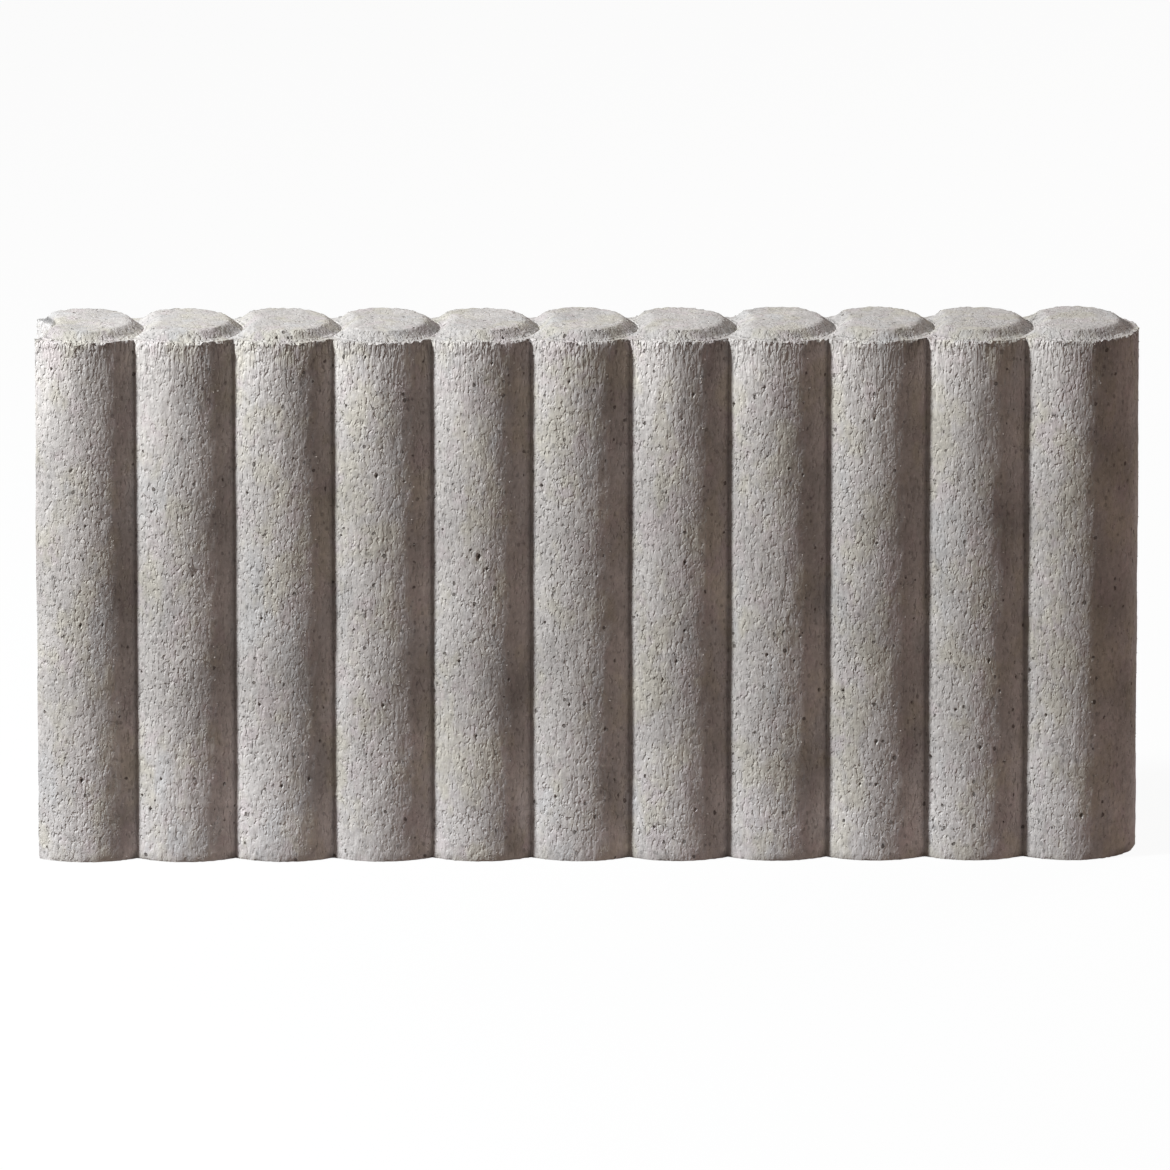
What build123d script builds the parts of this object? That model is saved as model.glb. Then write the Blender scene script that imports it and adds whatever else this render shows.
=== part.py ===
# Concrete kerb stone, a garden edging cast in one piece.
# It reads as a row of round posts that stand side by side and are fused where they meet.
# The posts stand up along Z, the row runs along X and the front of the stone faces -Y.
# The right end is round and the left end is hollow, so the next stone keys in and can turn.
import os
from math import sqrt

from build123d import *

# Driving sizes, in millimetres
laying_length = 500
post_count = 11
stone_height = 250
stone_thickness = 60
scallop_radius = 37
joint_gap = 1
head_height = 4.5
ledge_width = 1
chamfer_run = 4.5
end_chamfer_run = 6.3
cove_run = 6.8
flat_half_width = 20.6

# The row of posts, with the middle of the whole stone at X = 0
post_pitch = laying_length / post_count
end_radius = stone_thickness / 2
overall_length = laying_length - post_pitch / 2 + end_radius
left_edge = -overall_length / 2
post_centres = [left_edge + post_pitch * (number + 0.5) for number in range(post_count)]
last_centre = post_centres[-1]

# Where two posts meet, the front is this far from the middle plane
valley_depth = end_radius - scallop_radius + sqrt(scallop_radius**2 - (post_pitch / 2) ** 2)

# The hollow takes the round end of the stone before, which has its last post one pitch away
hollow_centre = post_centres[0] - post_pitch
hollow_radius = end_radius + joint_gap

# The heads stand on the shoulder and keep a ledge inside the edge of the posts
shoulder_height = stone_height - head_height
head_half_depth = end_radius - ledge_width
flat_half_depth = head_half_depth - chamfer_run
head_half_width = flat_half_width + end_chamfer_run

# Outline seen from above: scallops along both sides, round on the right, hollow on the left
with BuildSketch() as outline:
    with BuildLine():
        for side in (-1, 1):
            for centre in post_centres[:-1]:
                ThreePointArc(
                    (centre - post_pitch / 2, side * valley_depth),
                    (centre, side * end_radius),
                    (centre + post_pitch / 2, side * valley_depth),
                )
            RadiusArc(
                (last_centre - post_pitch / 2, side * valley_depth),
                (last_centre, side * end_radius),
                side * scallop_radius,
            )
        ThreePointArc(
            (last_centre, -end_radius),
            (last_centre + end_radius, 0),
            (last_centre, end_radius),
        )
        Line((left_edge, valley_depth), (left_edge, -valley_depth))
    make_face()
    with Locations((hollow_centre, 0)):
        Circle(hollow_radius, mode=Mode.SUBTRACT)

# One head: an oval flat with a chamfer all round, coved back round the head to its left
with BuildPart() as head:
    with BuildSketch(Plane.XY.offset(shoulder_height)):
        Ellipse(head_half_width, head_half_depth)
    with BuildSketch(Plane.XY.offset(stone_height)):
        Ellipse(flat_half_width, flat_half_depth)
    loft()
    with BuildSketch(Plane.XY.offset(shoulder_height)):
        with Locations((-post_pitch, 0)):
            Ellipse(head_half_width, head_half_depth)
    with BuildSketch(Plane.XY.offset(stone_height)):
        with Locations((-post_pitch, 0)):
            Ellipse(head_half_width + cove_run, head_half_depth + cove_run)
    loft(mode=Mode.SUBTRACT)

# The heads in their row, with the ledge kept along the hollow too
with BuildPart() as head_row:
    with Locations([(centre, 0) for centre in post_centres]):
        add(head.part)
    with BuildSketch(Plane.XY.offset(shoulder_height)):
        with Locations((hollow_centre, 0)):
            Circle(hollow_radius + ledge_width)
    extrude(amount=head_height, mode=Mode.SUBTRACT)

# The whole stone: the scalloped body with the heads on its shoulder
with BuildPart() as kerb_stone:
    add(outline.sketch)
    extrude(amount=shoulder_height)
    add(head_row.part)

kerb_stone.part.label = "kerb_stone"
os.makedirs("parts", exist_ok=True)
export_step(kerb_stone.part, "parts/kerb_stone.step")
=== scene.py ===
# %% [markdown]
# # A scalloped concrete kerb stone
# The stone is one block of pressed concrete, about half a metre long, that edges a lawn or a path.
# It reads as a row of eleven round posts fused side by side, each with a bevelled oval head.
# The CAD frame already holds the true block. Blender's job here is the cast surface: the torn lip
# round the shoulder, the dents and pores of the dry mix, the sand grains and the colour.
# The frame is loaded first, because every piece below takes its place and its size from it.

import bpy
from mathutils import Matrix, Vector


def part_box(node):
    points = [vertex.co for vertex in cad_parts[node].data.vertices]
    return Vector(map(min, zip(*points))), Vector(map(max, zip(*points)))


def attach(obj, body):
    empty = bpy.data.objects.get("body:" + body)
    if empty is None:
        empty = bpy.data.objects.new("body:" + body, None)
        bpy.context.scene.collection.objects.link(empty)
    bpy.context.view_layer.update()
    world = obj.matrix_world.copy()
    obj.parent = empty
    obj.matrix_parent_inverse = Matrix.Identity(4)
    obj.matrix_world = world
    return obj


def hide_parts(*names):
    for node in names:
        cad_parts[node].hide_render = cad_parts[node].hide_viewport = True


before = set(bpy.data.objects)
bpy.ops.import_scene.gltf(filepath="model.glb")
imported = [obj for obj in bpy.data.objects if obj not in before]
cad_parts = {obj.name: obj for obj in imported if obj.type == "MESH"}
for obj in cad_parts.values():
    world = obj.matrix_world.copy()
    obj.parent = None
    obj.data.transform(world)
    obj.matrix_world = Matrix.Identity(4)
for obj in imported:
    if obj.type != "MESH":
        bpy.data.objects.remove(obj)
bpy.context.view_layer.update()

# %% Tools
import math
from types import SimpleNamespace

import bpy
import numpy as np
from mathutils import Vector
from mathutils.geometry import delaunay_2d_cdt

MM = 0.001
SEED = 11


def stand(name, data):
    """Put a mesh, a lamp or a camera in the scene as an object at the origin."""
    made = bpy.data.objects.new(name, data)
    bpy.context.scene.collection.objects.link(made)
    return made


# %% [markdown]
# ## Sizes
# A maker of these stones would give the mould's own sizes, so they are named here in millimetres.
# The row is measured from the CAD node, which keeps this skin and the solid in step: what the posts
# share is the length that is left when half the rounded end is taken off.

# %% The stone's own sizes
post_count = 11
scallop_radius = 37.0
joint_gap = 1.0
head_height = 4.5
ledge_width = 1.0
chamfer_run = 4.5
end_chamfer_run = 6.3
cove_run = 6.8
flat_half_width = 20.6

node_low, node_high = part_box("kerb_stone")
stone_length = (node_high.x - node_low.x) / MM
stone_height = (node_high.z - node_low.z) / MM
end_radius = (node_high.y - node_low.y) / MM / 2
post_pitch = (stone_length - end_radius) / (post_count - 0.5)
left_edge = node_low.x / MM
post_centres = [left_edge + post_pitch * (number + 0.5) for number in range(post_count)]

half_pitch = post_pitch / 2
shoulder_height = stone_height - head_height
head_half_depth = end_radius - ledge_width
flat_half_depth = head_half_depth - chamfer_run
head_half_width = flat_half_width + end_chamfer_run
foot_oval = (head_half_width, head_half_depth)
flat_oval = (flat_half_width, flat_half_depth)
cove_oval = (head_half_width + cove_run, head_half_depth + cove_run)
hollow_radius = end_radius + joint_gap
print("posts", post_count, "pitch", round(post_pitch, 3), "height", round(stone_height, 2))

# %% [markdown]
# ## Sums on sockets
# Materials and geometry trees are both made of nodes. Wired by hand, a formula of ten terms takes
# ten nodes and a page of links. Here one small class wraps a socket and overloads Python's
# operators, so a formula is written as a formula and adds its own Math nodes.

# %% Wires and graphs


class Wire:
    """One socket of a node tree, which Python can do sums on."""

    def __init__(self, graph, socket):
        self.graph = graph
        self.socket = socket

    def maths(self, operation, *others):
        values = dict(enumerate((self, *others)))
        return self.graph.node("ShaderNodeMath", {"operation": operation}, values)

    def __add__(self, other):
        return self.maths("ADD", other)

    __radd__ = __add__

    def __sub__(self, other):
        return self.maths("SUBTRACT", other)

    def __rsub__(self, other):
        return self * -1 + other

    def __mul__(self, other):
        return self.maths("MULTIPLY", other)

    __rmul__ = __mul__

    def at_least(self, other):
        return self.maths("MAXIMUM", other)

    def step(self, start, end, low=0.0, high=1.0):
        """A smooth step from low to high as the value goes from start to end."""
        values = {"Value": self, "From Min": start, "From Max": end, "To Min": low, "To Max": high}
        return self.graph.node("ShaderNodeMapRange", {"interpolation_type": "SMOOTHSTEP"}, values)

    def vector(self, operation, other):
        """A sum on vectors, such as a stretch or a shift."""
        values = {0: self, 1: other}
        return self.graph.node("ShaderNodeVectorMath", {"operation": operation}, values)

    def scaled(self, factor):
        """The vector or colour, made longer or brighter by a factor."""
        values = {"Vector": self, "Scale": factor}
        return self.graph.node("ShaderNodeVectorMath", {"operation": "SCALE"}, values)

    def length(self):
        settings = {"operation": "LENGTH"}
        return self.graph.node("ShaderNodeVectorMath", settings, {0: self}, out="Value")

    def part(self, axis):
        return self.graph.node("ShaderNodeSeparateXYZ", values={0: self}, out=axis)


class Graph:
    """A node tree, with one method that adds any node."""

    def __init__(self, tree):
        self.tree = tree
        self.tree.nodes.clear()

    @staticmethod
    def find(sockets, key):
        if isinstance(key, int):
            return sockets[key]
        exact = [socket for socket in sockets if socket.identifier == key]
        shown = [socket for socket in sockets if socket.name == key and socket.enabled]
        return (exact + shown)[0]

    def node(self, kind, settings=None, values=None, out=0):
        """Add a node, first its settings, then a value or a wire for each named socket."""
        made = self.tree.nodes.new(kind)
        for name, value in (settings or {}).items():
            setattr(made, name, value)
        for key, value in (values or {}).items():
            socket = self.find(made.inputs, key)
            if isinstance(value, Wire):
                self.tree.links.new(value.socket, socket)
            else:
                socket.default_value = value
        return Wire(self, self.find(made.outputs, out)) if len(made.outputs) else made

    def also(self, wire, out):
        """Another output of the node that a wire comes from."""
        return Wire(self, self.find(wire.socket.node.outputs, out))

    def noise(self, place, size, detail=2.0, roughness=0.5, stretch=1.0, seed=0.0):
        """Cloudy noise from 0 to 1 whose lumps are about this size, drawn out along Z by stretch."""
        squeeze = (1 / size, 1 / size, 1 / size / stretch)
        values = {
            "Vector": place.vector("MULTIPLY", squeeze),
            "W": seed,
            "Scale": 1.0,
            "Detail": detail,
            "Roughness": roughness,
        }
        return self.node("ShaderNodeTexNoise", {"noise_dimensions": "4D"}, values)

    def cells(self, place, size, stretch=1.0, shift=0.0):
        """Voronoi cells: the distance from the nearest seed, in cells, and a random colour."""
        squeeze = (1 / size, 1 / size, 1 / size / stretch)
        moved = place.vector("MULTIPLY", squeeze).vector("ADD", (shift, shift, shift))
        return self.node("ShaderNodeTexVoronoi", values={"Vector": moved, "Scale": 1.0})

    def tint(self, factor, first, second):
        """Blend two colours, which a Math node would turn grey."""
        settings = {"data_type": "RGBA", "clamp_factor": True}
        values = {"Factor_Float": factor, "A_Color": first, "B_Color": second}
        return self.node("ShaderNodeMix", settings, values, "Result_Color")


# %% [markdown]
# ## One cell of the row
# The mould repeats one post, so the mesh repeats one cell: two scalloped walls, the head on top and
# the underside. The first cell ends in the hollow that takes the stone before it, and the last one
# in the round end. A wall is a plain grid of columns and rows. The top is harder, because an oval
# flat, its chamfer, the ledge and the notch between two heads all need their own edges. A constrained
# Delaunay triangulation keeps those edges and fills the rest with even triangles, so it is used here.

# %% The mesh spacing and the walls' outlines
columns_per_post = 36
wall_rows = 84
lip_width = 0.8
top_spacing = 1.65
base_spacing = 5.0
crest_step = 2.6


def half_depth(offset):
    """How far the front stands from the middle plane, this far along from a post's centre."""
    return end_radius - scallop_radius + np.sqrt(scallop_radius**2 - offset**2)


def arc(centre, radius, start, end, count):
    """Points along an arc about (centre, 0), with the angles in degrees."""
    turn = np.radians(np.linspace(start, end, count))
    return np.column_stack([centre + radius * np.cos(turn), radius * np.sin(turn)])


def front(start, end, count, inset=0.0):
    """Points along the front scallop, from one offset to another."""
    offset = np.linspace(start, end, count)
    return np.column_stack([offset, inset - half_depth(offset)])


def mirrored(points):
    """The same points on the back of the stone, in the order that keeps the outline turning left."""
    return points[::-1] * (1, -1)


valley_depth = float(half_depth(half_pitch))
notch_depth = head_half_depth * math.sqrt(1 - (half_pitch / head_half_width) ** 2)
hollow_reach = math.degrees(math.acos(half_pitch / hollow_radius))
hollow_span = hollow_radius * math.sin(math.radians(hollow_reach))
print("valley", round(valley_depth, 2), "mm from the middle")
print("hollow", round(hollow_span * 2, 2), "mm wide")

# %% Joins between two cells


def crest(inset):
    """The line where two cells meet, from the front valley to the back one."""
    inner = valley_depth - inset
    low = np.linspace(-inner, -notch_depth, 5)[:-1]
    middle = np.linspace(-notch_depth, notch_depth, 2 * round(notch_depth / crest_step) + 1)
    depths = np.concatenate([[-valley_depth], low, middle, -low[::-1], [valley_depth]])
    return np.column_stack([np.full(len(depths), half_pitch), depths])


joint_line = crest(lip_width)
half_columns = columns_per_post // 2

# %% The outlines of the three kinds of cell
middle_front = front(-half_pitch, half_pitch, columns_per_post + 1)
last_front = front(-half_pitch, 0, half_columns + 1)
round_end = arc(0, end_radius, -90, 90, 2 * columns_per_post + 1)
hollow = arc(-post_pitch, hollow_radius, hollow_reach, -hollow_reach, columns_per_post + 1)
left_join = joint_line[::-1] * (-1, 1)

outlines = {
    "middle": [
        (middle_front, True),
        (joint_line, False),
        (mirrored(middle_front), True),
        (left_join, False),
    ],
    "first": [
        (middle_front, True),
        (joint_line, False),
        (mirrored(middle_front), True),
        (np.array([(-half_pitch, valley_depth), tuple(hollow[0])]), True),
        (hollow, True),
        (np.array([tuple(hollow[-1]), (-half_pitch, -valley_depth)]), True),
    ],
    "last": [
        (last_front, True),
        (round_end, True),
        (mirrored(last_front), True),
        (left_join, False),
    ],
}

# %% [markdown]
# The head's surface is a rule, not a drawing: along any ray from the post's centre it is level as
# far as the flat's oval, falls evenly to the oval at the chamfer's foot, and is level again on the
# ledge. The mould cuts each head back round the head on its left, so a cove rises from the foot of
# that neighbour. In numbers, the lower of chamfer and cove wins, and the neighbour's foot is laid on.

# %% The head's rule
ledge_foot = 0.4
ledge_top = 1.2
front_flare = 0.4


def oval_reach(across, along, half_width, half_run):
    """How far an oval reaches from its centre in the direction of each point."""
    distance = np.maximum(np.hypot(across, along), 1e-9)
    return distance / np.maximum(np.hypot(across / half_width, along / half_run), 1e-9)


def rise_between(across, along, low_oval, high_oval):
    """How far a slope has risen, from 0 at the oval of its foot to 1 at the oval of its top."""
    distance = np.hypot(across, along)
    low = oval_reach(across, along, *low_oval)
    high = oval_reach(across, along, *high_oval)
    return np.clip((distance - low) / (high - low), 0, 1)


def chamfer_rise(across, along):
    """The chamfer of a head, which flares out at its foot except towards the right."""
    flare = 1 + front_flare * (1 - np.clip(across / flat_half_width, 0, 1))
    return rise_between(across, along, foot_oval, flat_oval) ** flare


def head_surface(points, kind):
    """The height of the top over each point of a cell."""
    across, along = points[:, 0], points[:, 1]
    chamfer = chamfer_rise(across, along)
    cove = rise_between(across + post_pitch, along, foot_oval, cove_oval)
    rise = np.minimum(chamfer, cove)
    if kind == "first":
        room = np.hypot(across + post_pitch, along) - hollow_radius
        ledge = (room - ledge_foot) / (ledge_top - ledge_foot)
        rise = np.minimum(rise, np.clip(ledge, 0, 1))
    else:
        rise = np.maximum(rise, chamfer_rise(across + post_pitch, along))
    return shoulder_height + head_height * rise


def wall_room(points, kind):
    """How far each point is from the nearest wall of its cell."""
    across, along = points[:, 0], points[:, 1]
    offset = np.clip(across, -half_pitch, half_pitch)
    room = half_depth(offset) - np.abs(along)
    if kind == "last":
        room = np.where(across > 0, end_radius - np.hypot(across, along), room)
    if kind == "first":
        hollow_room = np.hypot(across + post_pitch, along) - hollow_radius
        room = np.minimum(room, hollow_room)
    return room


# %% Lines that the top has to keep
oval_steps = 84
least_room = 0.35
least_join_room = 0.5


def oval(half_width, half_run, centre=0.0):
    """A closed oval as a line of points."""
    turn = np.radians(np.linspace(0, 360, oval_steps + 1))
    return np.column_stack([centre + half_width * np.cos(turn), half_run * np.sin(turn)])


def cove_edge():
    """The crease where the cove meets the chamfer, from the foot up, on the front of the head."""
    level = np.linspace(0, 1, 6)[:, None]
    width, run = (np.array(foot_oval) * (1 - level) + np.array(flat_oval) * level).T
    cove_width, cove_depth = (np.array(foot_oval) * (1 - level) + np.array(cove_oval) * level).T
    own, other = (run / width) ** 2, (cove_depth / cove_width) ** 2
    square, linear = other - own, 2 * other * post_pitch
    constant = other * post_pitch**2 + run**2 - cove_depth**2
    root = np.sqrt(np.maximum(linear**2 - 4 * square * constant, 0))
    across = -2 * constant / (linear + root)
    along = -run * np.sqrt(np.maximum(1 - (across / width) ** 2, 0))
    return np.column_stack([across, along])


def kept_lines(kind):
    """Open lines inside a cell: the lip, the head's edges and the ledge along the hollow."""
    lip = front(-half_pitch, half_pitch, columns_per_post + 1, lip_width)
    lines = [lip, mirrored(lip)]
    if kind == "last":
        lip = front(-half_pitch, 0, half_columns + 1, lip_width)
        end_lip = arc(0, end_radius - lip_width, -90, 90, 2 * columns_per_post - 1)
        lines = [np.concatenate([lip, end_lip[1:], mirrored(lip)[1:]])]
    lines += [oval(*flat_oval), oval(*foot_oval), cove_edge(), mirrored(cove_edge())]
    cove_top = oval(*cove_oval, -post_pitch)
    inside_flat = np.hypot(cove_top[:, 0] / flat_oval[0], cove_top[:, 1] / flat_oval[1]) < 1
    half_turn = oval_steps // 2
    cove_top = np.roll(cove_top[:-1], half_turn, 0)
    lines.append(cove_top[np.roll(inside_flat[:-1], half_turn)])
    if kind == "first":
        lines[0], lines[1] = lines[0][1:], lines[1][:-1]
        for inset in (ledge_foot, ledge_top):
            lines.append(arc(-post_pitch, hollow_radius + inset, 40, -40, columns_per_post - 3))
    else:
        lines.append(np.roll(oval(*foot_oval, -post_pitch)[:-1], half_turn, 0))
    return lines


def runs_inside(line, kind):
    """The stretches of a line that stay inside the cell and clear of its joins and walls."""
    clear = wall_room(line, kind) > least_room
    join_free = np.abs(line[:, 0]) < half_pitch - least_join_room
    if kind == "last":
        join_free = line[:, 0] > least_join_room - half_pitch
    if kind == "first":
        on_ledge = np.hypot(line[:, 0] + post_pitch, line[:, 1]) - hollow_radius
        clear &= (on_ledge > least_room) & (line[:, 0] > 0.4 - half_pitch)
    keep = clear & join_free
    runs, run = [], []
    for point, kept in zip(line, keep):
        if kept:
            run.append(tuple(point))
        elif run:
            runs.append(run)
            run = []
    return [run for run in [*runs, run] if len(run) > 1]


# %% The top and the underside of a cell


def grid_inside(kind, spacing, margin, draw):
    """An even, slightly shaken field of points inside a cell."""
    reach = end_radius + 2
    rows = np.arange(-reach, reach, spacing * 0.866)
    columns = np.arange(-reach, reach, spacing)
    across, along = np.meshgrid(columns, rows)
    across[1::2] += spacing / 2
    points = np.column_stack([across.ravel(), along.ravel()])
    points += draw.uniform(-0.18, 0.18, points.shape) * spacing
    left = points[:, 0] > margin - half_pitch
    right = (points[:, 0] < half_pitch - margin) | (kind == "last")
    return points[(wall_room(points, kind) > margin) & left & right]


def surface(kind, spacing, lines, draw):
    """Triangles that fill a cell's outline and keep the lines, as points and faces."""
    loop = np.concatenate([side[:-1] for side, _ in outlines[kind]])
    points = [tuple(point) for point in loop]
    edges = [(n, (n + 1) % len(points)) for n in range(len(points))]
    for line in lines:
        for run in runs_inside(line, kind):
            first = len(points)
            points.extend(run)
            edges.extend((n, n + 1) for n in range(first, len(points) - 1))
    fixed = np.array(points)
    loose = grid_inside(kind, spacing, spacing * 0.5, draw)
    gap = np.sqrt(((loose[:, None] - fixed[None]) ** 2).sum(2)).min(1)
    points.extend(tuple(point) for point in loose[gap > spacing * 0.55])
    found = delaunay_2d_cdt([Vector(point) for point in points], edges, [], 1, 1e-5, False)
    corners = np.array([tuple(point) for point in found[0]])
    middles = np.array([corners[face].mean(0) for face in found[2]])
    on_stone = wall_room(middles, kind) > 0
    return corners, [list(face) for face, kept in zip(found[2], on_stone) if kept]


def top_and_base(kind, draw):
    """The dressed top and the plain underside of a cell."""
    flat_points, faces = surface(kind, top_spacing, kept_lines(kind), draw)
    top = np.column_stack([flat_points, head_surface(flat_points, kind)])
    base_points, base_faces = surface(kind, base_spacing, [], draw)
    base = np.column_stack([base_points, np.zeros(len(base_points))])
    return (top, faces), (base, [face[::-1] for face in base_faces])


# %% The walls, and the whole cell as one mesh
rim_rows = 1.0


def wall(side):
    """A wall as a grid of quads over one stretch of the outline."""
    levels = np.linspace(rim_rows, shoulder_height - rim_rows, wall_rows)
    levels = np.concatenate([[0], levels, [shoulder_height]])
    rows, columns = len(levels), len(side)
    points = np.column_stack([np.tile(side, (rows, 1)), np.repeat(levels, columns)])
    faces = []
    for row in range(rows - 1):
        for column in range(columns - 1):
            corner = row * columns + column
            faces.append([corner, corner + 1, corner + columns + 1, corner + columns])
    return points, faces


def make_cell(kind, draw):
    """One cell as a Blender object, centred on its own post, in metres."""
    parts = [*top_and_base(kind, draw)]
    parts += [wall(side) for side, is_wall in outlines[kind] if is_wall]
    points, faces, first = [], [], 0
    for part_points, part_faces in parts:
        points.append(part_points)
        faces += [[corner + first for corner in face] for face in part_faces]
        first += len(part_points)
    mesh = bpy.data.meshes.new(f"cell_{kind}")
    mesh.from_pydata(np.concatenate(points) * MM, [], faces)
    mesh.update()
    cell = stand(f"cell_{kind}", mesh)
    print(cell.name, len(mesh.vertices), "points", len(mesh.polygons), "faces")
    return cell


draw = np.random.default_rng(SEED)
cells = {kind: make_cell(kind, draw) for kind in outlines}

# %% [markdown]
# ## The concrete
# Kerb stones like this are pressed from an earth-dry mix of sand and cement and struck at once. The
# face keeps the marks of that: fine dents drawn out along the pull of the mould, open pores, pale
# sand grains, and faint olive, mauve and blue clouds where the cement lies thicker. All of it is
# worked out from the place on the stone in millimetres, so no picture is needed and it fits any side.

# %% The concrete's colours
cement_grey = (0.515, 0.487, 0.467, 1)
olive_cloud = (0.511, 0.480, 0.424, 1)
mauve_cloud = (0.514, 0.468, 0.458, 1)
blue_cloud = (0.503, 0.487, 0.476, 1)
# Painted shade for the insides of pores and holes
painted_hole_shade_colour = (0.120, 0.100, 0.088, 1)
sand_pale = (0.72, 0.69, 0.64, 1)

# %% [markdown]
# Most marks depend on where they are: strokes near the shoulder, dust and painted bounce light at the
# foot, painted shade on the slopes of the heads and a painted highlight on the left flanks. So the
# place of each point and a few masks are worked out once and shared. The masks read the stone's own
# position and normal and never the camera, so they hold from every side.

# %% Where a point of the skin is, and which way it faces


def skin_masks(g):
    """The place of each point in millimetres, and masks from 0 to 1 for the regions of the stone."""
    place = g.node("ShaderNodeTexCoord", out="Object").vector("MULTIPLY", (1000, 1000, 1000))
    facing = g.node("ShaderNodeNewGeometry", out="Normal")
    to_left = facing.part("X") * -1
    to_front = facing.part("Y") * -1
    height = place.part("Z")
    above_shoulder = height - shoulder_height
    level = facing.part("Z").step(0.90, 0.98)
    sway = g.also(g.noise(place, 1.6, detail=1.0, seed=12.0), "Color")
    return SimpleNamespace(
        place=place,
        bent=place.vector("ADD", sway.vector("SUBTRACT", (0.5, 0.5, 0.5)).scaled(1.3)),
        height=height,
        above_shoulder=above_shoulder,
        level=level,
        on_slope=above_shoulder.step(0.3, 0.9) * (1 - level),
        left_flank=to_left.step(-0.15, 0.35),
        front_left=to_left.step(0.05, 0.35) * to_front.step(0.15, 0.50),
        right_flank=facing.part("X").step(0.15, 0.45),
    )


# %% Spots, such as pores, specks and stains


def spots(g, place, size, stretch, shift, channel, start, widest, soft):
    """Spots strewn by cells: each gets a random size, and those below the start stay empty."""
    seeds = g.cells(place, size, stretch, shift)
    spot_size = g.also(seeds, "Color").part(channel).step(start, 1.0, 0.0, widest)
    return (spot_size - seeds).step(0.0, soft)


# %% The fine relief, in millimetres
swell_height = 0.42
hollow_depth = 0.46
grit_height = 0.15
wall_stroke = 0.22
shoulder_stroke = 0.8
cut_height = 0.55
pore_depth = 0.55


def fine_relief(g, skin, grit, pore):
    """The height of the bump: soft swells and hollows, strokes of the mould, and pores."""
    open_skin = g.noise(skin.place, 26, stretch=1.8, seed=21.0).step(0.32, 0.68, 0.6, 1.25)
    open_skin = open_skin * skin.height.step(2, 15, 0.4, 1.0) * (1 - skin.level * 0.45)
    hollows = g.noise(skin.bent, 1.35, detail=1.0, stretch=2.0, seed=2.0).step(0.50, 0.76)
    swells = g.noise(skin.place, 2.3, stretch=1.8, seed=5.0)
    strokes = g.noise(skin.place, 1.4, detail=1.0, stretch=5.0, seed=8.0)
    stroke_depth = skin.height.step(215, 244, wall_stroke, shoulder_stroke)
    stroke_depth = stroke_depth * (1 - skin.level) * (1 - skin.on_slope * 0.5)
    cuts = g.noise(skin.place, 1.6, detail=1.0, stretch=2.6, seed=33.0).step(0.40, 0.56)
    cuts = cuts * (1 - skin.on_slope * 0.8)
    cut_depth = skin.height.step(238, 245, 0.0, cut_height) * (1 - skin.level)
    height = swells * swell_height - hollows * open_skin * hollow_depth + grit * grit_height
    return height + strokes * stroke_depth + cuts * cut_depth - pore * pore_depth


# %% Clouds in the cement


def cement_clouds(g, place):
    """Grey cement with olive, mauve and blue clouds, and the noise that the olive ones follow."""
    clouds = g.noise(place, 17, detail=3.0, roughness=0.6, stretch=1.5, seed=1.0)
    colour = g.tint(clouds.step(0.46, 0.62), cement_grey, olive_cloud)
    drifts = g.noise(place, 12, detail=3.0, roughness=0.6, stretch=1.4, seed=4.0)
    colour = g.tint(drifts.step(0.50, 0.66), colour, mauve_cloud)
    films = g.noise(place, 20, detail=3.0, roughness=0.6, stretch=2.2, seed=17.0)
    return g.tint(films.step(0.54, 0.68), colour, blue_cloud), clouds


# %% [markdown]
# The stone isn't one tone. Brown stains and slow blotches run over it, and the rim of the hollow is
# darker. Painted shade darkens the joints at the foot on the right flanks and the slopes of the
# heads, most on the right ones and the lit front-left ones, and a painted highlight makes the left
# flanks paler towards the top. These are shares of the cement's tone, so they multiply. They follow
# the photograph, where part of them may be light and not colour: they stay put when the lamps change.

# %% The tone of the skin, with painted shade and painted light
hollow_axis = (post_centres[0] - post_pitch, 0.0, 0.0)
plain_tone, grit_tone, mottle_tone = 0.485, 0.20, 0.85
stain_tone = 0.34
darker_hollow_rim_tone = 0.55
# How much painted shade darkens the joints at the foot
painted_joint_shade_tone = 0.5
blotch_tone, flank_blotch_tone = 0.55, 0.65
# How much a painted highlight pales the tops of the left flanks
painted_flank_light_tone = 0.24


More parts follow.
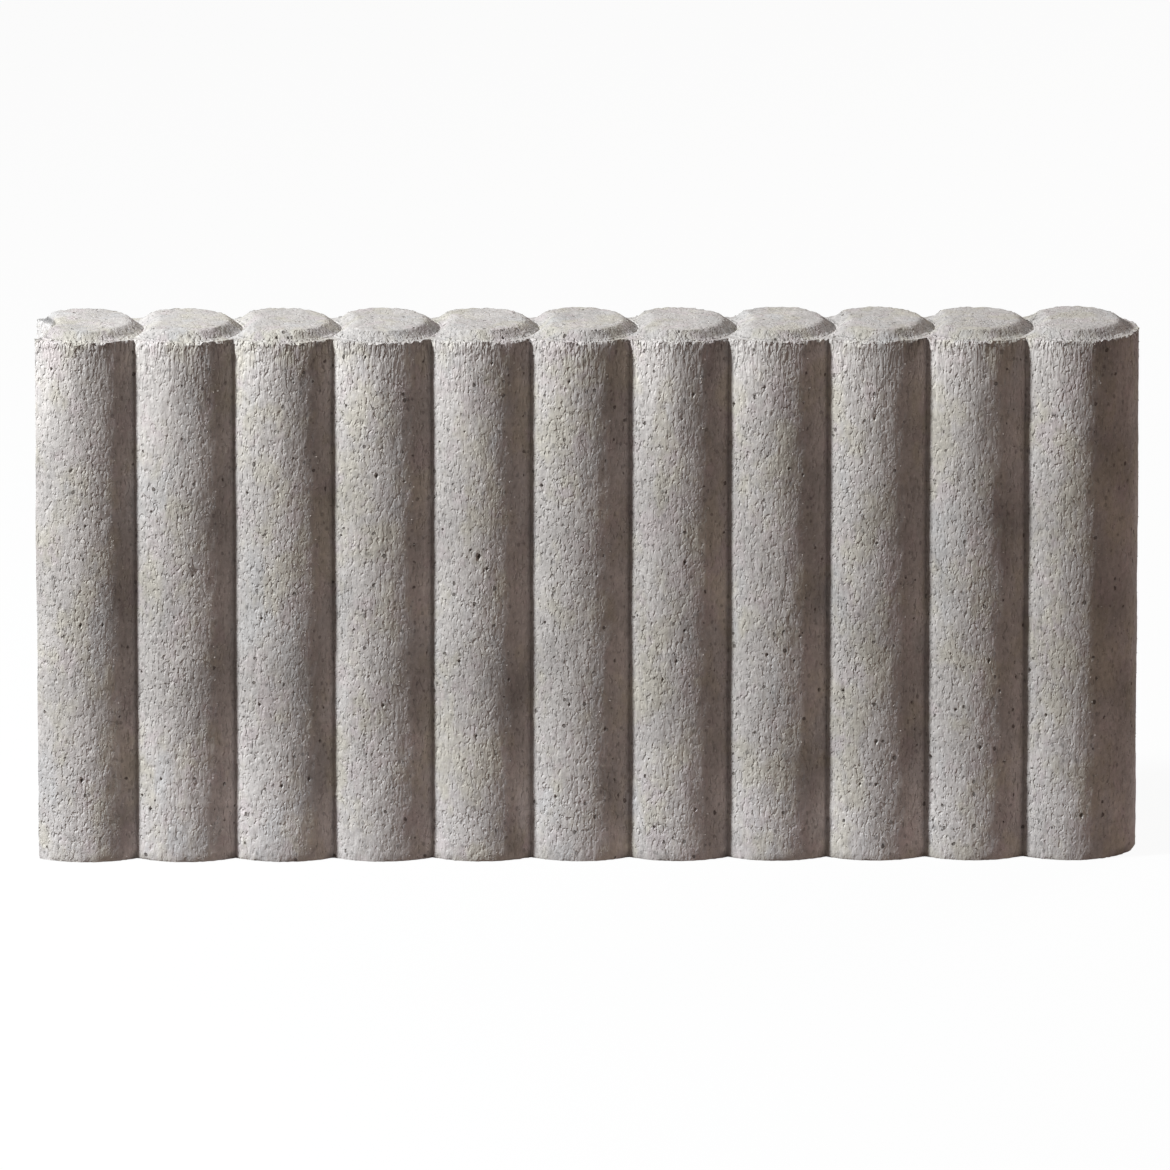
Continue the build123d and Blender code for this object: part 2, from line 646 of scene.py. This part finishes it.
def skin_tone_and_painted_light(g, skin, grit):
    """How pale the skin is, as a share of the cement's own colour, with painted shade and a painted
    highlight in it.
    """
    stain = spots(g, skin.bent, 2.6, 1.4, 5.9, "Z", 0.30, 0.36, 0.12)
    # Painted shade on the slopes of the heads: darkest on the right ones, and toned down on the lit
    # front-left ones.
    painted_slope_shade = 1 - skin.on_slope * (0.02 + skin.front_left * 0.10 + skin.right_flank * 0.14)
    rim_room = skin.place.vector("SUBTRACT", hollow_axis).vector("MULTIPLY", (1, 1, 0)).length()
    # A thin band along the rim of the hollow, just above the shoulder, is made darker.
    darker_hollow_rim = skin.above_shoulder.step(-1.2, 0.2) * skin.above_shoulder.step(1.6, 2.8, 1.0, 0.0)
    darker_hollow_rim = darker_hollow_rim * (rim_room - hollow_radius).step(1.3, 1.7, 1.0, 0.0)
    # Painted shade in the joints at the foot, only on the right flanks, where the shade falls.
    from_joint = (skin.place.part("X") - left_edge).maths("PINGPONG", half_pitch)
    painted_joint_shade = from_joint.step(0.5, 6, 1.0, 0.0) * skin.height.step(0.5, 5, 1.0, 0.0)
    painted_joint_shade = painted_joint_shade * skin.right_flank
    blotch = g.noise(skin.place, 22, stretch=1.6, seed=41.0) - 0.5
    blotches = 1 + blotch * (blotch_tone + skin.right_flank * flank_blotch_tone)
    # A painted highlight: the lit left flanks made paler towards the top.
    painted_flank_light = skin.height.step(165, 245, 0.0, painted_flank_light_tone) * skin.left_flank
    painted_flank_light = 1 + painted_flank_light * (1 - skin.on_slope) * (1 - skin.level)
    mottle = g.noise(skin.place, 2.4, detail=3.0, roughness=0.6, stretch=1.2, seed=29.0)
    grain = plain_tone + grit * grit_tone + mottle * mottle_tone
    marks = painted_slope_shade * (1 - stain * stain_tone) * (1 - darker_hollow_rim * darker_hollow_rim_tone) * (1 - painted_joint_shade * painted_joint_shade_tone)
    return grain * marks * blotches * painted_flank_light


# %% Painted bounce light at the foot
# Painted bounce light: how high it reaches, and how much each channel gains at the ground
floor_bounce_reach = 90
floor_bounce_gain = (0.23, 0.24, 0.26)


def painted_floor_bounce(g, skin, colour):
    """The colour, made paler and a little cooler towards the ground, as painted light bounced from
    the floor.
    """
    foot = skin.height.step(5, floor_bounce_reach, 1.0, 0.0)
    gains = {axis: 1 + foot * gain for axis, gain in zip("XYZ", floor_bounce_gain)}
    return colour.vector("MULTIPLY", g.node("ShaderNodeCombineXYZ", values=gains))


# %% The concrete material


def concrete_material(name):
    material = bpy.data.materials.new(name)
    material.use_nodes = True
    g = Graph(material.node_tree)
    skin = skin_masks(g)
    grit = g.noise(skin.place, 0.75, roughness=0.6, seed=3.0)
    pore = spots(g, skin.bent, 4.6, 1.2, 7.3, "X", 0.55, 0.21, 0.06)
    speck = spots(g, skin.place, 2.3, 1.0, 3.1, "Y", 0.50, 0.26, 0.05)
    pit = g.node("ShaderNodeAttribute", {"attribute_name": "pit"}, out="Fac")

    cement, clouds = cement_clouds(g, skin.place)
    # Painted bounce light makes the foot paler and cooler.
    toned = painted_floor_bounce(g, skin, cement.scaled(skin_tone_and_painted_light(g, skin, grit)))
    dust = skin.height.step(0.5, 5, 1.0, 0.0) * clouds.step(0.42, 0.60) * 0.35
    colour = g.tint((speck * 0.45).at_least(dust), toned, sand_pale)
    # Painted shade: the pores and the middles of the pressed holes are tinted dark brown.
    colour = g.tint(pore * 0.8, colour, painted_hole_shade_colour)
    colour = g.tint(pit * 0.9, colour, painted_hole_shade_colour)

    height = fine_relief(g, skin, grit, pore)
    bump_values = {"Strength": 1.0, "Distance": MM, "Height": height}
    values = {
        "Base Color": colour,
        "Roughness": 0.86 + grit * 0.12,
        "Normal": g.node("ShaderNodeBump", values=bump_values),
        "Specular IOR Level": 0.25,
    }
    shader = g.node("ShaderNodeBsdfPrincipled", values=values)
    g.node("ShaderNodeOutputMaterial", values={"Surface": shader})
    print(name, "material with", len(g.tree.nodes), "nodes")
    return material


concrete = concrete_material("concrete")

# %% [markdown]
# ## The row of posts
# Geometry Nodes sets the cells out along a line, welds them into one closed skin and then presses
# the cast relief into it, so the relief runs on past every joint and no two posts are alike. Count,
# pitch and depths are named inputs of the tree, as they would be for someone who wants a longer
# stone. Copies made by hand would carry the same dents on every post.

# %% A helper for trees


def new_tree(name, sockets):
    """A geometry tree with named inputs, and the identifier of each."""
    tree = bpy.data.node_groups.new(name, "GeometryNodeTree")
    tree.is_modifier = True
    tree.interface.new_socket("Geometry", in_out="OUTPUT", socket_type="NodeSocketGeometry")
    tree.interface.new_socket("Geometry", in_out="INPUT", socket_type="NodeSocketGeometry")
    names = {}
    for label, kind in sockets.items():
        made = tree.interface.new_socket(label, in_out="INPUT", socket_type=f"NodeSocket{kind}")
        names[label] = made.identifier
    return tree, names


def run_tree(thing, tree, names, values):
    """Set the named inputs, evaluate the tree, and give back its result as a plain mesh."""
    modifier = thing.modifiers.new("tree", "NODES")
    modifier.node_group = tree
    for label, value in values.items():
        modifier[names[label]] = value
    view_layer = bpy.context.evaluated_depsgraph_get()
    result = bpy.data.meshes.new_from_object(thing.evaluated_get(view_layer))
    thing.modifiers.remove(modifier)
    return result


# %% The tree of the row
row_inputs = {
    "First cell": "Object",
    "Last cell": "Object",
    "Middle posts": "Int",
    "Pitch": "Float",
    "First centre": "Float",
    "Wave depth": "Float",
    "Dent depth": "Float",
    "Lip height": "Float",
    "Seed": "Float",
    "Material": "Material",
}
row_tree, row_names = new_tree("row_of_posts", row_inputs)
g = Graph(row_tree)
given = g.node("NodeGroupInput", out="Geometry")
pitch = g.also(given, "Pitch")
first_centre = g.also(given, "First centre")
middle_posts = g.also(given, "Middle posts")
seed = g.also(given, "Seed")


def along_row(distance):
    return g.node("ShaderNodeCombineXYZ", values={"X": distance})


def end_cell(label, centre):
    info = g.node("GeometryNodeObjectInfo", values={"Object": g.also(given, label)}, out="Geometry")
    values = {"Geometry": info, "Translation": along_row(centre)}
    return g.node("GeometryNodeTransform", values=values)


line_values = {
    "Count": middle_posts,
    "Start Location": along_row(first_centre + pitch),
    "Offset": along_row(pitch),
}
line = g.node("GeometryNodeMeshLine", {"mode": "OFFSET"}, line_values)
middles = g.node("GeometryNodeInstanceOnPoints", values={"Points": line, "Instance": given})
joined = g.node("GeometryNodeJoinGeometry")
last_centre = first_centre + pitch * (middle_posts + 1)
for part in (middles, end_cell("First cell", first_centre), end_cell("Last cell", last_centre)):
    g.tree.links.new(part.socket, joined.socket.node.inputs[0])
real = g.node("GeometryNodeRealizeInstances", values={0: joined})
weld_values = {"Geometry": real, "Distance": 0.02 * MM}
welded = g.node("GeometryNodeMergeByDistance", values=weld_values)

# %% The relief, pressed into the welded skin
place = g.node("GeometryNodeInputPosition")
place_mm = place.vector("MULTIPLY", (1000, 1000, 1000))
height_mm = place_mm.part("Z")
normal = g.node("GeometryNodeInputNormal")
facing_down = (normal.part("Z") * -1).step(0.5, 0.9)
wave = g.noise(place_mm, 34, stretch=1.4, seed=seed) - 0.5
dent = g.noise(place_mm, 4.6, roughness=0.55, stretch=1.8, seed=seed + 5.0) - 0.5
relief = wave * g.also(given, "Wave depth") + dent * g.also(given, "Dent depth")
push = relief * (1 - facing_down)
pressed = place.vector("ADD", normal.scaled(push))
above_ground = {
    "X": pressed.part("X"),
    "Y": pressed.part("Y"),
    "Z": pressed.part("Z").at_least(0.0),
}
above = g.node("ShaderNodeCombineXYZ", values=above_ground)
skin = g.node("GeometryNodeSetPosition", values={"Geometry": welded, "Position": above})

# %% [markdown]
# When the stamp lifts off, the edge of the shoulder tears. It stays as a ragged lip, notched down
# and in where mix came away with the stamp and a little proud between. The lip's points are found
# by their height and tilt, and two coarse noises move them. The foot is crumbled the same way.

# %% The torn lip round the shoulder
# Each share is of the lip's height: how far it drops and rises, and how far it goes in and out
lip_drop, lip_rise = -1.0, 0.35
lip_in, lip_out = -0.8, 0.45
foot_wear = -1.1
brim_wear = -0.4

near_shoulder = (height_mm - shoulder_height).maths("ABSOLUTE").step(0.02, 0.3, 1.0, 0.0)
edge_tilt = normal.part("Z").step(0.15, 0.35) * normal.part("Z").step(0.80, 0.95, 1.0, 0.0)
on_edge = near_shoulder * edge_tilt
outward = normal.vector("MULTIPLY", (1, 1, 0))
lip_height = g.also(given, "Lip height")
tear = g.noise(place_mm, 2.2, roughness=0.6, seed=seed + 9.0).step(0.38, 0.62, lip_drop, lip_rise)
tooth = g.noise(place_mm, 1.9, detail=1.0, seed=seed + 13.0).step(0.40, 0.62, lip_in, lip_out)
lifted = g.node("ShaderNodeCombineXYZ", values={"Z": on_edge * tear * lip_height})
jagged = outward.scaled(on_edge * tooth * lip_height)

# %% The worn edges of the foot and of the flats
crumb = g.noise(place_mm, 2.6, roughness=0.6, seed=seed + 17.0).step(0.35, 0.70)
at_foot = height_mm.step(0.0, 0.4, 1.0, 0.0) * normal.part("Z").step(-0.95, -0.85)
worn = outward.scaled(at_foot * crumb * lip_height * foot_wear)
near_brim = height_mm.step(stone_height - 0.4, stone_height - 0.1)
at_brim = near_brim * normal.part("Z").step(0.96, 0.995, 1.0, 0.0)
chip = g.noise(place_mm, 2.4, roughness=0.6, seed=seed + 21.0).step(0.42, 0.66, 0.0, brim_wear)
broken = g.node("ShaderNodeCombineXYZ", values={"Z": at_brim * chip * lip_height})
offset = lifted.vector("ADD", jagged).vector("ADD", worn).vector("ADD", broken)
torn = g.node("GeometryNodeSetPosition", values={"Geometry": welded, "Offset": offset})
g.tree.links.new(torn.socket, skin.socket.node.inputs["Geometry"])
coat = {"Geometry": skin, "Material": g.also(given, "Material")}
finished = g.node("GeometryNodeSetMaterial", values=coat)
g.node("NodeGroupOutput", values={"Geometry": finished})

# %% Run the tree and keep its skin
skin_mesh = run_tree(
    cells["middle"],
    row_tree,
    row_names,
    {
        "First cell": cells["first"],
        "Last cell": cells["last"],
        "Middle posts": post_count - 2,
        "Pitch": post_pitch * MM,
        "First centre": post_centres[0] * MM,
        "Wave depth": 1.1 * MM,
        "Dent depth": 1.0 * MM,
        "Lip height": 1.1 * MM,
        "Seed": float(SEED),
        "Material": concrete,
    },
)
skin_mesh.name = "stone_skin"
for cell in cells.values():
    bpy.data.objects.remove(cell)
triangles = sum(len(face.vertices) - 2 for face in skin_mesh.polygons)
print("skin", len(skin_mesh.vertices), "points", triangles, "triangles")

# %% [markdown]
# ## Air holes
# Air that is caught against the mould leaves holes one to three millimetres wide. Those are deep
# enough to hold a real shadow, so they are pressed into the mesh: one point is pushed in and the ring
# of points round it is drawn up to the hole's rim, which costs no triangles. The largest ones on the
# front are set where a worn stone shows them, and the rest are strewn by a seed.

# %% Holes on the front, as post number, offset from its centre, height and width
front_holes = (
    (1, -2.1, 112.0, 2.2), (1, 7.5, 111.8, 1.8), (1, -2.5, 40.3, 2.4), (2, -16.1, 23.8, 2.2),
    (2, -10.9, 37.8, 1.6), (2, -15.2, 166.7, 1.6), (3, -10.5, 116.3, 1.8), (3, -1.2, 34.8, 2.0),
    (3, 11.6, 38.3, 2.0), (4, -2.6, 183.5, 2.2), (4, 0.6, 73.6, 2.0), (5, -9.9, 94.3, 1.8),
    (5, -1.2, 144.4, 3.2), (5, -5.6, 147.0, 1.8), (5, 2.6, 138.4, 2.0), (5, -2.1, 59.0, 1.8),
    (5, 13.1, 85.0, 1.8), (6, -17.1, 178.1, 2.2), (6, -5.3, 228.0, 1.8), (6, 10.8, 63.6, 1.8),
    (7, -7.5, 85.7, 1.8), (7, -0.7, 94.1, 1.8), (7, 3.0, 141.7, 2.2), (7, 5.8, 219.6, 2.0),
    (9, -8.2, 36.2, 1.8), (9, 0.5, 37.0, 1.8), (10, -20.3, 46.5, 2.0), (10, 2.0, 53.1, 2.0),
    (10, 6.7, 94.1, 2.2), (11, -19.8, 88.6, 2.0), (11, 3.5, 20.5, 2.4),
)
# Holes on the heads, as post number, offset along the row, offset across it and width
head_holes = (
    (3, 7.5, -2.8, 1.6), (3, -3.1, -26.5, 2.0), (3, 3.0, -26.0, 1.6),
    (5, 17.5, -16.5, 2.0), (5, 10.3, -27.4, 1.8), (6, 20.5, -2.0, 1.6),
)
strewn_holes = 320

# %% The skin as arrays, in millimetres


def read_vectors(mesh, what):
    """The positions or the normals of a mesh's points, as rows of three numbers."""
    values = np.empty(len(mesh.vertices) * 3)
    mesh.vertices.foreach_get(what, values)
    return values.reshape(-1, 3)


skin_points = read_vectors(skin_mesh, "co") / MM
skin_normals = read_vectors(skin_mesh, "normal")
touching = [[] for _ in skin_points]
for face in skin_mesh.polygons:
    for corner in face.vertices:
        touching[corner].append(face.index)

# %% Where the holes go
head_level = stone_height - 1
strewn_widths = (0.9, 1.9)
places = [
    (post_centres[post - 1] + offset, -float(half_depth(offset)), height, width)
    for post, offset, height, width in front_holes
]
places += [
    (post_centres[post - 1] + offset, across, head_level, width)
    for post, offset, across, width in head_holes
]
set_by_hand = len(places)
draw = np.random.default_rng(SEED + 1)
open_points = np.flatnonzero((skin_normals[:, 2] > -0.5) & (skin_points[:, 2] > 4))
for chosen in draw.choice(open_points, strewn_holes, replace=False):
    places.append((*skin_points[chosen], draw.uniform(*strewn_widths)))

# %% Press the holes in
tall_share = 1.35
hole_depth_share = 0.62
evenness = 0.8
edge_evenness = 0.3
taken = np.zeros(len(skin_points), bool)
hole_shade = np.zeros(len(skin_points))


def press_hole(place, width, least_even):
    """Push in the nearest point and draw its ring up to the rim, unless the skin bends too much."""
    middle = int(np.argmin(((skin_points - place) ** 2).sum(1)))
    ring = {corner for face in touching[middle] for corner in skin_mesh.polygons[face].vertices}
    ring = np.array(sorted(ring - {middle}))
    outwards = skin_normals[middle]
    too_bent = (skin_normals[ring] @ outwards).min() < least_even
    if taken[ring].any() or taken[middle] or too_bent:
        return False
    away = skin_points[ring] - skin_points[middle]
    lift = away @ outwards
    flat = away - lift[:, None] * outwards
    reach = np.linalg.norm(flat, axis=1)
    heading = flat / reach[:, None]
    rim = width / 2 * np.hypot(np.hypot(heading[:, 0], heading[:, 1]), tall_share * heading[:, 2])
    rim = np.minimum(rim * draw.uniform(0.75, 1.25, len(ring)), reach * 1.1)
    pulled = heading * rim[:, None] + (lift * rim / reach)[:, None] * outwards
    skin_points[ring] = skin_points[middle] + pulled
    skin_points[middle] -= outwards * width * hole_depth_share
    hole_shade[middle] = 1.0
    taken[ring] = taken[middle] = True
    return True


made = [
    press_hole(place, width, edge_evenness if number < set_by_hand else evenness)
    for number, (*place, width) in enumerate(places)
]
skin_mesh.vertices.foreach_set("co", (skin_points * MM).ravel())
# The middles of the holes, which the material darkens with painted shade
shade = skin_mesh.attributes.new("pit", "FLOAT", "POINT")
shade.data.foreach_set("value", hole_shade)
skin_mesh.update()
print("holes set by hand", sum(made[:set_by_hand]), "of", set_by_hand, "and in all", sum(made))

# %% Edges stay crisp where the mould has an edge
crisp_angle = 40
skin_mesh.shade_smooth()
skin_mesh.set_sharp_from_angle(angle=math.radians(crisp_angle))
stone_skin = stand("stone_skin", skin_mesh)
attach(stone_skin, "root")
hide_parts("kerb_stone")

# %% [markdown]
# ## Sand grains
# The dry mix leaves sand standing half out of the skin, some of it pale and some brown. Geometry
# Nodes strews one small grain over the skin, turned and sized at random, everywhere but underneath.
# A bump could tone them, but only real grains break the light at the edge of the shade.

# %% The grains' material
sand_brown = (0.36, 0.32, 0.28, 1)
sand_grey = (0.56, 0.53, 0.50, 1)


def sand_material(name):
    material = bpy.data.materials.new(name)
    material.use_nodes = True
    g = Graph(material.node_tree)
    place = g.node("ShaderNodeTexCoord", out="Object").vector("MULTIPLY", (1000, 1000, 1000))
    pick = g.also(g.cells(place, 1.6), "Color").part("X")
    colour = g.tint(pick.step(0.35, 0.60), sand_brown, sand_grey)
    colour = g.tint(pick.step(0.78, 0.92), colour, sand_pale)
    shader = g.node(
        "ShaderNodeBsdfPrincipled",
        values={"Base Color": colour, "Roughness": 0.75, "Specular IOR Level": 0.3},
    )
    g.node("ShaderNodeOutputMaterial", values={"Surface": shader})
    return material


# %% The tree that strews them
sand_tree, sand_names = new_tree(
    "sand_grains",
    {"Grain radius": "Float", "Grains per m2": "Float", "Seed": "Int", "Material": "Material"},
)
g = Graph(sand_tree)
given = g.node("NodeGroupInput", out="Geometry")
seed = g.also(given, "Seed")
uncovered = g.node("GeometryNodeInputNormal").part("Z").maths("GREATER_THAN", -0.5)
strewn_values = {
    "Mesh": given,
    "Selection": uncovered,
    "Density": g.also(given, "Grains per m2"),
    "Seed": seed,
}
strewn = g.node("GeometryNodeDistributePointsOnFaces", values=strewn_values)
grain = g.node(
    "GeometryNodeMeshIcoSphere",
    values={"Radius": g.also(given, "Grain radius"), "Subdivisions": 1},
    out="Mesh",
)
turn = g.node(
    "FunctionNodeRandomValue",
    {"data_type": "FLOAT_VECTOR"},
    {"Min": (0, 0, 0), "Max": (math.tau, math.tau, math.tau), "Seed": seed},
)
size = g.node(
    "FunctionNodeRandomValue",
    {"data_type": "FLOAT_VECTOR"},
    {"Min": (0.55, 0.55, 0.55), "Max": (1.45, 1.2, 1.2), "Seed": seed + 1},
)
grains = g.node(
    "GeometryNodeInstanceOnPoints",
    values={"Points": strewn, "Instance": grain, "Rotation": turn, "Scale": size},
)
loose = g.node("GeometryNodeRealizeInstances", values={0: grains})
coat = {"Geometry": loose, "Material": g.also(given, "Material")}
finished = g.node("GeometryNodeSetMaterial", values=coat)
g.node("NodeGroupOutput", values={"Geometry": finished})

# %% Strew the grains on the skin
sand_mesh = run_tree(
    stone_skin,
    sand_tree,
    sand_names,
    {
        "Grain radius": 0.30 * MM,
        "Grains per m2": 27500.0,
        "Seed": SEED,
        "Material": sand_material("sand"),
    },
)
sand_mesh.name = "sand_grains"
sand_grains = stand("sand_grains", sand_mesh)
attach(sand_grains, "root")
print("grains", len(sand_mesh.polygons) // 20, "triangles", len(sand_mesh.polygons))

# %% [markdown]
# ## Floor, light and camera
# The stone stands on a wide pale floor. The key lamp, high on the left and half in front, rakes
# along the row: it leaves each post's right flank in shade, which is what makes the posts read as
# round. A weak warm lamp low on the right lets the dents show in that shade, and one behind lifts
# the heads from the white. With world light alone the shade would be flat.

# %% A mask for what the camera sees


def seen_rays(g):
    """1 for rays from the camera, also in a reflection or through glass, and 0 for light rays."""
    ray = g.node("ShaderNodeLightPath", out="Is Camera Ray")
    return ray.at_least(g.also(ray, "Is Glossy Ray")).at_least(g.also(ray, "Is Transmission Ray"))


# %% The floor: white to the eye, but for a faint shadow, and a dull ground to the light
floor_size = 60.0
floor_level = -0.1 * MM
shadow_share = 0.06
bounce_colour = (0.200, 0.165, 0.150, 1)
paper_white = (0.85, 0.85, 0.85, 1)


def pale_floor(name):
    material = bpy.data.materials.new(name)
    material.use_nodes = True
    g = Graph(material.node_tree)
    bounce = g.node("ShaderNodeBsdfDiffuse", values={"Color": bounce_colour})
    paper = g.node("ShaderNodeBsdfDiffuse", values={"Color": paper_white})
    white = g.node("ShaderNodeEmission", values={"Color": (1, 1, 1, 1), "Strength": 1.0})
    backdrop = g.node("ShaderNodeMixShader", values={0: 1 - shadow_share, 1: paper, 2: white})
    floor_shader = g.node("ShaderNodeMixShader", values={0: seen_rays(g), 1: bounce, 2: backdrop})
    g.node("ShaderNodeOutputMaterial", values={"Surface": floor_shader})
    return material


floor_mesh = bpy.data.meshes.new("floor")
side = floor_size / 2
corners = [(-side, -side), (side, -side), (side, side), (-side, side)]
floor_mesh.from_pydata([(x, y, floor_level) for x, y in corners], [], [(0, 1, 2, 3)])
floor_mesh.materials.append(pale_floor("pale_floor"))
floor = stand("floor", floor_mesh)

# %% The world: white behind the stone, and a weak warm fill on it
sky_colour = (1.0, 0.81, 0.75, 1)
sky_strength = 0.055
world = bpy.data.worlds.new("studio")
bpy.context.scene.world = world
world.use_nodes = True
g = Graph(world.node_tree)
sky = g.node("ShaderNodeBackground", values={"Color": sky_colour, "Strength": sky_strength})
white = g.node("ShaderNodeBackground", values={"Color": (1, 1, 1, 1), "Strength": 1.0})
surface_seen = g.node("ShaderNodeMixShader", values={0: seen_rays(g), 1: sky, 2: white})
g.node("ShaderNodeOutputWorld", values={"Surface": surface_seen})

# %% Stand a lamp or the camera off from the stone


def stand_off(thing, aim, azimuth, elevation, distance):
    """Move a thing this far round from the front and up, and turn it towards the aim."""
    turn = math.radians(azimuth)
    rise = math.radians(elevation)
    flat = math.cos(rise)
    away = Vector((math.sin(turn) * flat, -math.cos(turn) * flat, math.sin(rise)))
    thing.location = Vector(aim) + away * distance
    thing.rotation_euler = away.to_track_quat("Z", "Y").to_euler()


# %% The lamps
lamp_aim = (0, 0, 0.12)


def lamp(name, azimuth, elevation, distance, size, watts, colour):
    light = bpy.data.lights.new(name, "AREA")
    light.shape = "DISK"
    light.size = size
    light.energy = watts
    light.color = colour
    made = stand(name, light)
    stand_off(made, lamp_aim, azimuth, elevation, distance)
    made.visible_camera = False


lamp("key", -69.5, 38.5, 2.1, 0.22, 65, (0.935, 0.975, 1.0))
lamp("fill", 66, 14, 4.0, 1.0, 15, (1.0, 0.72, 0.61))
lamp("back", 145, 32, 2.4, 1.0, 15, (1.0, 0.95, 0.92))

# %% The camera, far off and through a long lens, so that the posts stay upright
camera_distance = 8.0
camera_azimuth = -0.5
camera_elevation = 13.6
camera_aim = (-0.0012, 0, 0.1240)
image_width = 1170
pixels_per_mm = 2.167
sensor_width = 36
camera = stand("camera", bpy.data.cameras.new("camera"))
bpy.context.scene.camera = camera
stand_off(camera, camera_aim, camera_azimuth, camera_elevation, camera_distance)
camera.data.sensor_width = sensor_width
camera.data.lens = sensor_width * pixels_per_mm * camera_distance / MM / image_width
camera.data.clip_start = 0.1
camera.data.clip_end = 60
bpy.context.scene.view_settings.view_transform = "Standard"
print("lens", round(camera.data.lens, 1), "mm")
